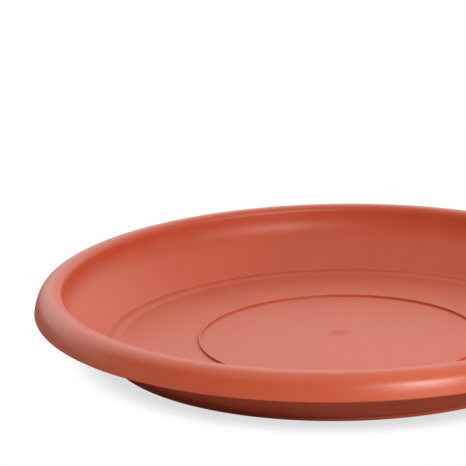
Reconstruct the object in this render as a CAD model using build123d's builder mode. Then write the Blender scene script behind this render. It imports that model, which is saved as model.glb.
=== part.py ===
"""Round plant saucer: one plastic moulding of even wall, with a rolled rim, a ledge and a standing ring."""

import os
from math import cos, radians, tan

from build123d import *

# Driving dimensions, in millimetres and degrees
rim_radius = 200.0  # outer edge of the apron that hangs from the rim
overall_height = 43.9  # ground to the crest of the rim
wall = 2.2  # thickness of the moulding everywhere
apron_depth = 15.5  # crest down to the apron's outer lower edge
apron_lean = 18.0  # the apron flares out from the vertical by this angle
apron_straight = 8.0  # straight stretch left between the rim's full round and the apron's lower edge
crest_inner_round = wall + 1.8  # tight round of the crest towards the bowl
crest_flat = 1.2  # level strip between the two rounds
band_depth = 13.6  # crest down to the crease where the sloping wall starts
band_lean = 1.0  # draft of the upright band between crease and crest
crease_round = 8.0  # soft hollow between the sloping wall and the band
wall_run = 26.7  # from the crease inwards to the foot of the sloping wall
wall_foot_round = 4.0  # hollow round where the wall meets the ledge
ledge_width = 8.1  # from the foot of the wall to the top of the step
ledge_height = 5.6  # top of the ledge over the ground
floor_height = 4.6  # top of the flat floor over the ground
step_run = 1.6  # the step from ledge to floor slopes in by this much
step_top_round = wall + 0.4  # soft rounds at the top and the foot of the step
step_foot_round = 1.2
floor_width = 52.5  # flat floor between the raised ring and the step
rib_width = 1.6  # raised ring on the floor
rib_height = 1.7
rib_round = 0.4
crown_rise = 3.5  # middle of the floor over its flat part
gate_radius = 7.0  # low button in the middle, where the plastic was let in
gate_rise = 0.4
gate_round = 0.3
standing_ring_width = 2.2  # ring under the ledge that the saucer stands on
standing_ring_inset = 2.2  # its outer face lies inside the wall's foot by this much
edge_round = 0.35 * wall  # softening of the apron's lower edge


def fillet_run(radius, turn):
    """Length of straight line that a fillet takes up on each side of a corner turning by an angle."""
    return radius * tan(radians(turn) / 2)


# Corners of the upper surface, worked out inwards from the rim
apron_edge = (rim_radius, overall_height - apron_depth)
outer_corner = (rim_radius - apron_depth * tan(radians(apron_lean)), overall_height)
apron_slant = apron_depth / cos(radians(apron_lean))
crest_outer_round = (apron_slant - apron_straight) / fillet_run(1, 90 - apron_lean)
crest_radius = outer_corner[0] - fillet_run(crest_outer_round, 90 - apron_lean)
inner_corner = (crest_radius - crest_flat - fillet_run(crest_inner_round, 90 - band_lean), overall_height)
crease = (inner_corner[0] - band_depth * tan(radians(band_lean)), overall_height - band_depth)
wall_foot = (crease[0] - wall_run, ledge_height)
step_top = (wall_foot[0] - ledge_width, ledge_height)
step_foot = (step_top[0] - step_run, floor_height)
floor_start = (step_foot[0] - floor_width, floor_height)
crown_top = (0, floor_height + crown_rise)

with BuildPart() as saucer:
    # The shell: its upper surface is drawn once, then thickened downwards by the wall
    with BuildSketch(Plane.XZ) as shell_section:
        with BuildLine() as upper_surface:
            crown = TangentArc(crown_top, floor_start, tangent=(1, 0))
            FilletPolyline(
                crown @ 1,
                step_foot,
                step_top,
                wall_foot,
                crease,
                inner_corner,
                outer_corner,
                apron_edge,
                radius=[
                    step_foot_round,
                    step_top_round,
                    wall_foot_round,
                    crease_round,
                    crest_inner_round,
                    crest_outer_round,
                ],
            )
            offset(amount=wall, side=Side.RIGHT)
        make_face()
        outside_crest = shell_section.vertices().filter_by(lambda corner: corner.X > crest_radius)
        fillet(outside_crest.sort_by(Axis.Y)[:2], radius=edge_round)
    revolve(axis=Axis.Z)

    # The raised ring on the floor and the ring under the ledge, both rooted in the shell
    with BuildSketch(Plane.XZ) as ring_sections:
        with Locations((floor_start[0], floor_height - wall / 2)):
            Rectangle(rib_width, wall / 2 + rib_height, align=(Align.CENTER, Align.MIN))
        fillet(ring_sections.vertices().group_by(Axis.Y)[-1], radius=rib_round)
        with Locations((wall_foot[0] - standing_ring_inset, 0)):
            Rectangle(standing_ring_width, ledge_height - wall / 2, align=(Align.MAX, Align.MIN))
    revolve(axis=Axis.Z)

    # The gate button in the middle of the floor, rooted in the shell
    with BuildSketch(Plane.XY.offset(crown_top[1] - wall / 2)):
        Circle(gate_radius)
    extrude(amount=wall / 2 + gate_rise)
    fillet(saucer.edges(Select.LAST).group_by(Axis.Z)[-1], radius=gate_round)

saucer.part.label = "saucer"

os.makedirs("parts", exist_ok=True)
export_step(saucer.part, "parts/saucer.step")
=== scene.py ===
"""Terracotta plastic plant saucer on a white ground, under soft studio light. Units are metres."""

from math import cos, pi, radians, sin, tan

import bpy
import numpy as np
from mathutils import Matrix


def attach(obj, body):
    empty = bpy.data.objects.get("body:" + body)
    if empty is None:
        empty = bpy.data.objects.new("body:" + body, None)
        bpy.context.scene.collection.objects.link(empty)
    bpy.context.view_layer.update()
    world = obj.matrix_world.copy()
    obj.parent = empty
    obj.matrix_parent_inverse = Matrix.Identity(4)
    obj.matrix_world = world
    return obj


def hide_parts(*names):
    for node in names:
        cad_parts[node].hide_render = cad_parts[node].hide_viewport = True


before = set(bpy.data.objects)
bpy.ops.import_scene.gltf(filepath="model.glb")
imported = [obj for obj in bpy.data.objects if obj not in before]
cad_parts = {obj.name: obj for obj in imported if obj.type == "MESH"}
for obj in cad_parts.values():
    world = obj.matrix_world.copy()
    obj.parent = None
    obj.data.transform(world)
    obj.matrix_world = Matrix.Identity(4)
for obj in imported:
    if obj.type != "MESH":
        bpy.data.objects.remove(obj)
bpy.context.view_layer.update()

MM = 0.001

# Sizes of the moulding, the same as the solid's
rim_radius = 200.0 * MM  # outer edge of the apron that hangs from the rim
overall_height = 43.9 * MM  # ground to the crest of the rim
wall = 2.2 * MM  # thickness of the moulding everywhere
apron_depth = 15.5 * MM  # crest down to the apron's outer lower edge
apron_lean = radians(18.0)  # the apron flares out from the vertical by this angle
apron_straight = 8.0 * MM  # stretch left between the rim's full round and the apron's lower edge
crest_inner_round = wall + 1.8 * MM  # tight round of the crest towards the bowl
crest_flat = 1.2 * MM  # level strip between the crest's two rounds
band_lean = radians(1.0)  # draft of the upright band between crease and crest
wall_run = 26.7 * MM  # from the crease inwards to the foot of the sloping wall
ledge_height = 5.6 * MM  # top of the ledge over the ground
floor_height = 4.6 * MM  # top of the flat floor over the ground
floor_and_ledge = 62.2 * MM  # from the raised ring out to the foot of the wall
rib_width = 1.6 * MM  # raised ring on the floor
rib_height = 1.7 * MM
rib_round = 0.4 * MM
crown_rise = 3.5 * MM  # middle of the floor over its flat part
gate_radius = 7.0 * MM  # low button in the middle, where the plastic was let in
gate_rise = 0.4 * MM
standing_ring_width = 2.2 * MM  # ring under the ledge that the saucer stands on
standing_ring_inset = 2.2 * MM  # its outer face lies inside the wall's foot by this much
edge_round = 0.35 * wall  # softening of the apron's lower edge

# Surface detail that is finer than the solid's, within a millimetre of it
apron_bulge = 0.5 * MM  # the apron is faintly round across its straight stretch
apron_round = 25.0 * MM
knee_share = 0.36  # where the bulge lies, from the apron's lower edge up to the crest
band_depth = 15.0 * MM  # the sloping wall is faintly hollow, under a large round about a low crease
crease_round = 17.0 * MM
wall_foot_round = 3.0 * MM  # tight hollow where the wall meets the ledge
ledge_width = 5.4 * MM  # the ledge runs down to the floor by a soft slope
step_run = 4.6 * MM
step_top_round = 6.0 * MM
step_foot_round = 6.0 * MM
gate_flat = 0.30  # share of the gate button's radius that is flat, before it falls softly to the floor
witness_radius = 35.6 * MM  # hairline left by a round insert in the mould
witness_depth = 0.10 * MM
witness_width = 0.35 * MM
corner_softening = 0.3 * MM  # smallest round on the moulding's edges

# Fineness of the mesh
segments_around = 256
run_spacing = 5.0 * MM
arc_sag = 0.004 * MM  # how far an arc's chords may lie inside it
finest_arc_step = radians(4.5)
coarsest_arc_step = radians(18.0)
sharp_angle = radians(35.0)
gate_rings = 28  # rings of points on the gate button, on the disc about the hairline, and below the disc
inner_disc_rings = 8
hairline_rings = 13
outer_disc_rings = 15
under_disc_rings = 20
gate_first_ring = 0.04 * gate_radius
gate_last_ring = 1.12 * gate_radius
disc_first_ring = 1.3 * gate_radius
hairline_zone = 3 * witness_width  # the hairline's own rings reach this far to each side of it
hairline_margin = 4 * witness_width  # the other rings of the disc keep this far away from it
rib_margin = 1.5 * rib_width  # the disc's last ring keeps this far away from the raised ring's middle
under_disc_end = 0.01  # share of the raised ring's radius at which the rings below the disc end

# Finish of the plastic
dark_pigment = (0.535, 0.083, 0.030, 1.0)
light_pigment = (0.585, 0.098, 0.039, 1.0)
cloud_scale = 14.0
cloud_share = 0.6  # share of the clouds in the variation, the rest being streaks
streak_scale = 9.0
streak_change = 6.0  # how soon a streak changes on its way out from the gate
streak_start = 2.0 * MM  # keeps the streaks apart where they meet in the middle
variation_low = 0.35  # range of the variation that takes the pigment from dark to light
variation_high = 0.65
inside_roughness = 0.47
rim_roughness = 0.34
inside_end = 0.925 * rim_radius  # the finish changes over the crest's inner round
rim_start = 0.945 * rim_radius
gate_roughness = 0.20  # added in the middle of the gate
gate_spot = 0.35 * gate_radius
gate_spot_end = 1.2 * gate_radius
uneven_roughness = 0.03  # added or taken away by the variation
grain_scale = 1400.0
grain_strength = 0.06
grain_height = 0.2 * MM
plastic_ior = 1.49

# The ground, and the soft shadow on it
ground_radius = 30.0
ground_sides = 64
paper_white = 0.78
mirrored_white = 0.20  # the ground as the plastic mirrors it: painted shade, darker than the paper so that the reflections on the underside stay dim
shadow_reach = 36.0 * MM  # what is closer to the ground than this shades it
shadow_samples = 32
shadow_openness = 0.20  # openness to the sky where the shadow is deepest, and where it ends
clear_openness = 0.50
shadow_white = 0.70

# Brightness of the room by direction: depth runs from -1 on the camera's side to 1 behind the saucer,
# height is 1 overhead
low_front = 0.29
low_back = 1.12
wall_front = 0.06
wall_back = 1.68
ceiling = 0.92
low_blend = (-0.3, 0.3)  # depths over which front goes over to back
wall_blend = (0.1, 0.4)
low_end = (0.20, 0.35)  # heights over which the low strip goes over to the walls, and these to the ceiling
wall_end = (0.75, 0.92)

# The camera, from the circles of the photograph
picture_side = 466
focal_length_px = 3192.2
sensor_width = 36.0
camera_distance = 2.0000
camera_height = 0.6491
camera_pitch = 0.2784
camera_yaw = 0.0344
camera_roll = -0.0217


def fillet_run(radius, turn):
    """Length of run that a fillet takes up on each side of a corner turning by an angle."""
    return radius * tan(turn / 2)


def corner_arc(before, corner, after, radius):
    """Arc tangent to the two runs at a corner.

    The corner is cut back by radius * tan(turn / 2) along each run, and the spoke from the arc's centre
    to the first tangent point is turned in even steps until it meets the second. A chord over a step s
    lies radius * s * s / 8 inside the arc, which gives the step for the sag that is allowed.
    """
    along = (corner - before) / np.linalg.norm(corner - before)
    onward = (after - corner) / np.linalg.norm(after - corner)
    turn = np.arctan2(along[0] * onward[1] - along[1] * onward[0], along @ onward)
    start = corner - fillet_run(radius, abs(turn)) * along
    centre = start + np.sign(turn) * radius * np.array([-along[1], along[0]])
    spoke = start - centre
    across = np.array([-spoke[1], spoke[0]])
    step = np.clip(np.sqrt(8 * arc_sag / radius), finest_arc_step, coarsest_arc_step)
    angle = np.linspace(0, turn, int(np.ceil(abs(turn) / step)) + 2)[:, None]
    return centre + np.cos(angle) * spoke + np.sin(angle) * across


def straight_run(start, end):
    """Points strictly between the ends of a straight run, closer together near them: (1 - cos t) / 2."""
    count = max(3, int(np.ceil(np.linalg.norm(end - start) / run_spacing)))
    share = (1 - np.cos(np.linspace(0, pi, count + 1)[1:-1, None])) / 2
    return start + share * (end - start)


def rounded_path(corners, radii):
    """Straight runs joined by tangent arcs: first corner, one arc for each radius, last corner."""
    corners = np.array(corners)
    stops = [corners[:1]]
    stops += [corner_arc(*corners[i:i + 3], radius) for i, radius in enumerate(radii)]
    stops.append(corners[-1:])
    pieces = []
    for here, following in zip(stops[:-1], stops[1:]):
        pieces += [here, straight_run(here[-1], following[0])]
    return np.concatenate(pieces + [stops[-1]])


def parallel_corners(corners, distance):
    """Corners of the path that runs beside another at a distance, on its right-hand side.

    An inner corner moves by distance * (n1 + n2) / (1 + n1 . n2), where n1 and n2 are the right-hand
    normals of the runs that meet there. An end moves straight along its run's normal.
    """
    corners = np.array(corners)
    runs = np.diff(corners, axis=0)
    normals = np.stack([runs[:, 1], -runs[:, 0]], axis=1) / np.linalg.norm(runs, axis=1)[:, None]
    before = np.concatenate([normals[:1], normals])
    after = np.concatenate([normals, normals[-1:]])
    spread = 1 + np.sum(before * after, axis=1, keepdims=True)
    return corners + distance * (before + after) / spread


apron_slant = apron_depth / cos(apron_lean)
crest_outer_round = (apron_slant - apron_straight) / fillet_run(1, pi / 2 - apron_lean)


def upper_corners():
    """Corners (radius, height) of the upper surface, from the raised ring out to the apron's lower edge."""
    outer_corner = rim_radius - apron_depth * tan(apron_lean)
    crest_radius = outer_corner - fillet_run(crest_outer_round, pi / 2 - apron_lean)
    inner_corner = crest_radius - crest_flat - fillet_run(crest_inner_round, pi / 2 - band_lean)
    crease = inner_corner - band_depth * tan(band_lean)
    wall_foot = crease - wall_run
    step_top = wall_foot - ledge_width
    step_foot = step_top - step_run
    apron_edge = np.array([rim_radius, overall_height - apron_depth])
    up_the_apron = np.array([outer_corner, overall_height]) - apron_edge
    out_of_apron = np.array([cos(apron_lean), sin(apron_lean)])
    apron_knee = apron_edge + knee_share * up_the_apron + apron_bulge * out_of_apron
    return [
        (wall_foot - floor_and_ledge, floor_height),
        (step_foot, floor_height),
        (step_top, ledge_height),
        (wall_foot, ledge_height),
        (crease, overall_height - band_depth),
        (inner_corner, overall_height),
        (outer_corner, overall_height),
        apron_knee,
        apron_edge,
    ]


def crown_curve(radius, reach, top):
    """Shallow dome: the cap of a sphere that rises by crown_rise over a reach, with its top at a height."""
    sphere = (reach**2 + crown_rise**2) / (2 * crown_rise)
    return top - sphere + np.sqrt(sphere**2 - radius**2)


def floor_dome(reach):
    """Middle of the floor out to the raised ring: the dome with the gate button, less the hairline.

    The button is flat in its middle and falls by the smooth step 3 t^2 - 2 t^3. The hairline is a groove
    with the section of a bell curve.
    """
    radius = np.concatenate([
        np.linspace(gate_first_ring, gate_last_ring, gate_rings),
        np.linspace(disc_first_ring, witness_radius - hairline_margin, inner_disc_rings),
        np.linspace(witness_radius - hairline_zone, witness_radius + hairline_zone, hairline_rings),
        np.linspace(witness_radius + hairline_margin, reach - rib_margin, outer_disc_rings),
    ])
    fall = np.clip((radius / gate_radius - gate_flat) / (1 - gate_flat), 0, 1)
    button = gate_rise * (1 - fall**2 * (3 - 2 * fall))
    hairline = witness_depth * np.exp(-(((radius - witness_radius) / witness_width) ** 2))
    height = crown_curve(radius, reach, floor_height + crown_rise) + button - hairline
    return np.stack([radius, height], axis=1)


def saucer_section():
    """Half section of the moulding as (radius, height): out along the top, round the apron, back below.

    The underside runs beside the upper surface, one wall away: a round grows by the wall where the
    surface turns up and shrinks by the wall where it turns down. The standing ring cuts in at the wall's
    foot.
    """
    upper = upper_corners()
    lower = parallel_corners(upper, wall)
    rib_radius = upper[0][0]
    rib_inner = rib_radius - rib_width / 2
    rib_outer = rib_radius + rib_width / 2
    rib_top = floor_height + rib_height
    dome_top = floor_height + crown_rise
    apron_middle = (np.array(upper[-1]) + lower[-1]) / 2
    dome = floor_dome(rib_radius)
    upper_side = rounded_path(
        [
            dome[-1],
            (rib_inner, crown_curve(rib_inner, rib_radius, dome_top)),
            (rib_inner, rib_top),
            (rib_outer, rib_top),
            (rib_outer, floor_height),
            *upper[1:],
            apron_middle,
        ],
        [
            corner_softening, rib_round, rib_round, corner_softening,
            step_foot_round, step_top_round, wall_foot_round, crease_round,
            crest_inner_round, crest_outer_round, apron_round, edge_round,
        ],
    )

    # Below, from the apron in to the top of the step, then the standing ring, the floor and the disc
    under_wall = rounded_path(
        [apron_middle, *lower[:1:-1]],
        [
            edge_round, apron_round - wall, crest_outer_round - wall, crest_inner_round - wall,
            crease_round + wall, wall_foot_round + wall,
        ],
    )
    wall_foot = upper[3][0]
    ring_outer = wall_foot - standing_ring_inset
    ring_inner = ring_outer - standing_ring_width
    ring_top = np.interp(ring_outer, under_wall[::-1, 0], under_wall[::-1, 1])
    ledge_underside = lower[2][1]
    floor_underside = lower[0][1]
    under_floor = rounded_path(
        [
            (ring_outer, ring_top),
            (ring_outer, 0),
            (ring_inner, 0),
            (ring_inner, ledge_underside),
            *lower[2:0:-1],
            (rib_radius, floor_underside),
        ],
        [
            corner_softening, corner_softening, corner_softening,
            step_top_round - wall, step_foot_round + wall,
        ],
    )
    under_radius = np.linspace(1, under_disc_end, under_disc_rings)[1:] * rib_radius
    under_dome = np.stack([under_radius, crown_curve(under_radius, rib_radius, dome_top - wall)], axis=1)
    outside_ring = under_wall[under_wall[:, 0] > ring_outer]
    return np.concatenate([dome[:-1], upper_side[:-1], outside_ring, under_floor, under_dome])


def turned_shell(name, section):
    """Surface of revolution: each section point (r, z) becomes the ring (r cos a, r sin a, z).

    The two ends of the section are closed by a point on the axis and a fan of triangles.
    """
    angle = np.linspace(0, 2 * pi, segments_around, endpoint=False)
    rings = np.empty((len(section), segments_around, 3))
    rings[..., 0] = section[:, :1] * np.cos(angle)
    rings[..., 1] = section[:, :1] * np.sin(angle)
    rings[..., 2] = section[:, 1:]
    poles = np.array([[0, 0, section[0, 1]], [0, 0, section[-1, 1]]])
    points = np.concatenate([rings.reshape(-1, 3), poles])

    index = np.arange(len(section) * segments_around).reshape(len(section), segments_around)
    beside = np.roll(index, -1, axis=1)
    quads = np.stack([index[:-1], index[1:], beside[1:], beside[:-1]], axis=-1).reshape(-1, 4)
    top_pole = np.full(segments_around, index.size)
    top_fan = np.stack([top_pole, index[0], beside[0]], axis=-1)
    bottom_fan = np.stack([top_pole + 1, beside[-1], index[-1]], axis=-1)

    mesh = bpy.data.meshes.new(name)
    mesh.from_pydata(points.tolist(), [], quads.tolist() + top_fan.tolist() + bottom_fan.tolist())
    mesh.shade_smooth()
    mesh.set_sharp_from_angle(angle=sharp_angle)
    shell = bpy.data.objects.new(name, mesh)
    bpy.context.collection.objects.link(shell)
    return shell


class Nodes:
    """Short way to add nodes to a material or a world and link them."""

    def __init__(self, owner):
        owner.use_nodes = True
        self.tree = owner.node_tree
        self.tree.nodes.clear()

    def add(self, kind, settings=None, **inputs):
        """Add a node, set its properties, and fill its inputs with values or with other sockets.

        An input goes by its name with underscores for spaces, or by an underscore and its place.
        """
        node = self.tree.nodes.new(kind)
        for key, value in (settings or {}).items():
            setattr(node, key, value)
        for key, value in inputs.items():
            socket = node.inputs[int(key[1:])] if key[0] == "_" else node.inputs[key.replace("_", " ")]
            if isinstance(value, bpy.types.NodeSocket):
                self.tree.links.new(value, socket)
            else:
                socket.default_value = value
        return node

    def math(self, operation, first, second=0.0):
        """One arithmetic step on two values."""
        return self.add("ShaderNodeMath", {"operation": operation}, _0=first, _1=second).outputs[0]

    def ramp(self, value, low, high, start, end):
        """Carry a value from the range low to high over to the range start to end, held at the ends."""
        limits = {"From_Min": low, "From_Max": high, "To_Min": start, "To_Max": end}
        return self.add("ShaderNodeMapRange", Value=value, **limits).outputs[0]


def terracotta_plastic():
    """Satin moulded plastic in terracotta.

    Cloudy pigment and faint streaks that flow out from the gate vary the colour and the gloss, a very
    fine grain breaks up the reflections, the inside is duller than the rolled rim, and the gate leaves a
    spot that is duller still.
    """
    material = bpy.data.materials.new("terracotta_plastic")
    nodes = Nodes(material)
    place = nodes.add("ShaderNodeTexCoord").outputs["Object"]
    split = nodes.add("ShaderNodeSeparateXYZ", Vector=place)
    x, y = split.outputs["X"], split.outputs["Y"]
    squares = nodes.math("ADD", nodes.math("MULTIPLY", x, x), nodes.math("MULTIPLY", y, y))
    reach = nodes.math("SQRT", squares)
    spread = nodes.math("ADD", reach, streak_start)
    outward = nodes.add(
        "ShaderNodeCombineXYZ",
        X=nodes.math("DIVIDE", x, spread),
        Y=nodes.math("DIVIDE", y, spread),
        Z=nodes.math("MULTIPLY", reach, streak_change),
    ).outputs[0]

    clouds = nodes.add("ShaderNodeTexNoise", Vector=place, Scale=cloud_scale, Detail=3.0, Roughness=0.5)
    streaks = nodes.add("ShaderNodeTexNoise", Vector=outward, Scale=streak_scale, Detail=2.0, Roughness=0.5)
    grain = nodes.add("ShaderNodeTexNoise", Vector=place, Scale=grain_scale, Detail=2.0, Roughness=0.6)
    variation = nodes.math(
        "ADD",
        nodes.math("MULTIPLY", clouds.outputs[0], cloud_share),
        nodes.math("MULTIPLY", streaks.outputs[0], 1 - cloud_share),
    )
    tone = nodes.ramp(variation, variation_low, variation_high, 0.0, 1.0)
    colour = nodes.add("ShaderNodeMix", {"data_type": "RGBA"}, _0=tone, _6=dark_pigment, _7=light_pigment)

    matt_inside = nodes.ramp(reach, inside_end, rim_start, inside_roughness, rim_roughness)
    matt_gate = nodes.ramp(reach, gate_spot, gate_spot_end, gate_roughness, 0.0)
    uneven = nodes.ramp(variation, variation_low, variation_high, -uneven_roughness, uneven_roughness)
    roughness = nodes.math("ADD", nodes.math("ADD", matt_inside, matt_gate), uneven)
    bump = nodes.add(
        "ShaderNodeBump", Strength=grain_strength, Distance=grain_height, Height=grain.outputs[0]
    )
    surface = nodes.add(
        "ShaderNodeBsdfPrincipled",
        Base_Color=colour.outputs[2],
        Roughness=roughness,
        Normal=bump.outputs[0],
        IOR=plastic_ior,
    )
    nodes.add("ShaderNodeOutputMaterial", Surface=surface.outputs[0])
    return material


def white_ground():
    """Pale matt ground; the camera sees it as white, with a soft shadow where something is close above."""
    material = bpy.data.materials.new("white_ground")
    nodes = Nodes(material)
    path = nodes.add("ShaderNodeLightPath")
    # Painted shade: the ground turns dark where the plastic mirrors it, so reflections of it on the
    # underside stay dim
    paleness = nodes.ramp(path.outputs["Is Glossy Ray"], 0.0, 1.0, paper_white, mirrored_white)
    paper = nodes.add("ShaderNodeBsdfDiffuse", Color=paleness)
    occlusion = nodes.add("ShaderNodeAmbientOcclusion", {"samples": shadow_samples}, Distance=shadow_reach)
    whiteness = nodes.ramp(occlusion.outputs["AO"], shadow_openness, clear_openness, shadow_white, 1.0)
    shaded = nodes.add("ShaderNodeEmission", Strength=whiteness)
    both = nodes.add(
        "ShaderNodeMixShader",
        _0=path.outputs["Is Camera Ray"],
        _1=paper.outputs[0],
        _2=shaded.outputs[0],
    )
    nodes.add("ShaderNodeOutputMaterial", Surface=both.outputs[0])
    return material


def ground_disc():
    """Flat ground: one ring of points (r cos a, r sin a, 0) filled by a single face."""
    angle = np.linspace(0, 2 * pi, ground_sides, endpoint=False)
    points = ground_radius * np.stack([np.cos(angle), np.sin(angle), np.zeros_like(angle)], axis=1)
    mesh = bpy.data.meshes.new("ground")
    mesh.from_pydata(points.tolist(), [], [list(range(ground_sides))])
    mesh.materials.append(white_ground())
    ground = bpy.data.objects.new("ground", mesh)
    bpy.context.collection.objects.link(ground)


def white_room():
    """White room, bright behind the saucer and overhead, dim behind the camera; the camera sees white."""
    world = bpy.data.worlds.new("white_room")
    bpy.context.scene.world = world
    nodes = Nodes(world)
    direction = nodes.add("ShaderNodeTexCoord").outputs["Generated"]
    split = nodes.add("ShaderNodeSeparateXYZ", Vector=direction)
    depth, height = split.outputs["Y"], split.outputs["Z"]
    low_strip = nodes.ramp(depth, *low_blend, low_front, low_back)
    walls = nodes.ramp(depth, *wall_blend, wall_front, wall_back)
    up_to_ceiling = nodes.ramp(height, *low_end, low_strip, walls)
    room = nodes.ramp(height, *wall_end, up_to_ceiling, ceiling)
    seen = nodes.add("ShaderNodeLightPath").outputs["Is Camera Ray"]
    strength = nodes.math("MAXIMUM", room, seen)
    glow = nodes.add("ShaderNodeBackground", Color=(1.0, 1.0, 1.0, 1.0), Strength=strength)
    nodes.add("ShaderNodeOutputWorld", Surface=glow.outputs[0])


def soft_box(name, azimuth, elevation, distance, size, power):
    """Square lamp aimed at the saucer; azimuth 0 is the camera's side, positive to its right."""
    lamp = bpy.data.lights.new(name, "AREA")
    lamp.size = size
    lamp.energy = power
    box = bpy.data.objects.new(name, lamp)
    turn = Matrix.Rotation(radians(azimuth), 4, "Z")
    tilt = Matrix.Rotation(radians(90.0 - elevation), 4, "X")
    box.matrix_world = turn @ tilt @ Matrix.Translation((0, 0, distance))
    bpy.context.collection.objects.link(box)


def photograph_camera():
    """Camera at the photograph's viewing angle: turned, pitched down and rolled about where it stands."""
    lens = bpy.data.cameras.new("photograph_camera")
    lens.sensor_width = sensor_width
    lens.lens = focal_length_px / picture_side * sensor_width
    camera = bpy.data.objects.new("photograph_camera", lens)
    stand = Matrix.Translation((0, -camera_distance, camera_height))
    yaw = Matrix.Rotation(camera_yaw, 4, "Z")
    pitch = Matrix.Rotation(pi / 2 - camera_pitch, 4, "X")
    roll = Matrix.Rotation(camera_roll, 4, "Z")
    camera.matrix_world = stand @ yaw @ pitch @ roll
    bpy.context.collection.objects.link(camera)
    bpy.context.scene.camera = camera


saucer = turned_shell("saucer_shell", saucer_section())
saucer.data.materials.append(terracotta_plastic())
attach(saucer, "root")
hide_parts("saucer")

ground_disc()
white_room()
soft_box("key_box", azimuth=31.0, elevation=27.0, distance=2.0, size=0.38, power=25.0)
photograph_camera()
bpy.context.scene.view_settings.view_transform = "Standard"

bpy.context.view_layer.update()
